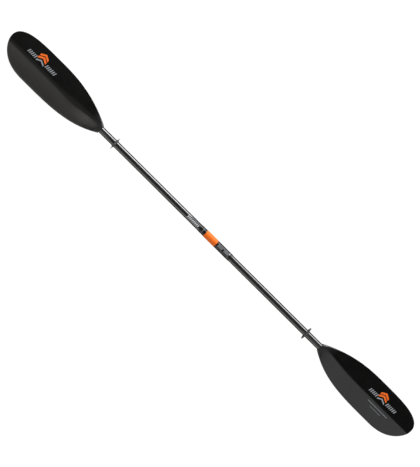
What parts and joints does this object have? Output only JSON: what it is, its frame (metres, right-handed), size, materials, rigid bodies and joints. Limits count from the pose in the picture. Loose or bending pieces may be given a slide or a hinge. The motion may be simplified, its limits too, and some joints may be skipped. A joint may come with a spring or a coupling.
{
  "type": "kayak paddle",
  "caption": "Two-piece double-bladed touring kayak paddle: dihedral asymmetric blades on a straight tubular shaft with a push-button feathering ferrule and sliding drip rings.",
  "frame": {"origin": "on the shaft's axis, midway between the two blade tips, which is the centre of the part's box", "axes": "+X along the shaft towards the right blade, +Z out of the blades' ridged faces, +Y towards the blades' long edges"},
  "size_m": [2.3, 0.165, 0.059],
  "materials": {
    "satin_black": "satin moulded carbon-filled nylon",
    "gloss_carbon": "clear-coated woven carbon tube",
    "black_moulding": "moulded black nylon",
    "white_ink": "printed white ink",
    "composite": "glass-fibre tube, ground",
    "nylon": "natural nylon",
    "steel": "stainless spring steel",
    "rubber": "soft black rubber",
    "orange": "orange gloss film over the moulding",
    "black_sleeve": "clear-coated reinforcing wrap",
    "silver_trim": "thin silver ring",
    "foam": "closed-cell foam"
  },
  "bodies": {
    "left_half": {"left_blade": "satin_black", "left_tube": "gloss_carbon", "left_bulkhead": "foam", "index_collar": "black_moulding", "degree_marks": "white_ink"},
    "ferrule_core": {"spigot": "composite", "thrust_bush": "nylon", "retaining_ring": "steel", "seal_rings": "rubber", "spigot_cap": "black_moulding", "button_spring": "steel"},
    "button": {"button_pin": "steel"},
    "right_half": {"right_tube": "gloss_carbon", "orange_band": "orange", "band_end_ring": "black_moulding", "ferrule_sleeve": "black_sleeve", "trim_ring": "silver_trim", "right_bulkhead": "foam", "right_blade": "satin_black"},
    "left_ring": {"left_drip_ring": "rubber"},
    "right_ring": {"right_drip_ring": "rubber"}
  },
  "joints": [
    {"name": "feather", "type": "hinge", "parent": "left_half", "child": "ferrule_core", "pos_m": [-0.036, 0, 0], "axis": [1, 0, 0], "range_deg": [-60, 60]},
    {"name": "ferrule_pull", "type": "slide", "parent": "ferrule_core", "child": "right_half", "axis": [1, 0, 0], "range_m": [0, 0.126]},
    {"name": "button_press", "type": "slide", "parent": "ferrule_core", "child": "button", "axis": [0, 0, 1], "range_m": [0, 0.0053], "stiffness_N_per_m": 1200, "springref_m": -0.0035, "deforming": ["button_spring"]},
    {"name": "left_drip_ring_slide", "type": "slide", "parent": "left_half", "child": "left_ring", "axis": [-1, 0, 0], "range_m": [-0.4, 0.07]},
    {"name": "right_drip_ring_slide", "type": "slide", "parent": "right_half", "child": "right_ring", "axis": [1, 0, 0], "range_m": [-0.4, 0.07]}
  ]
}
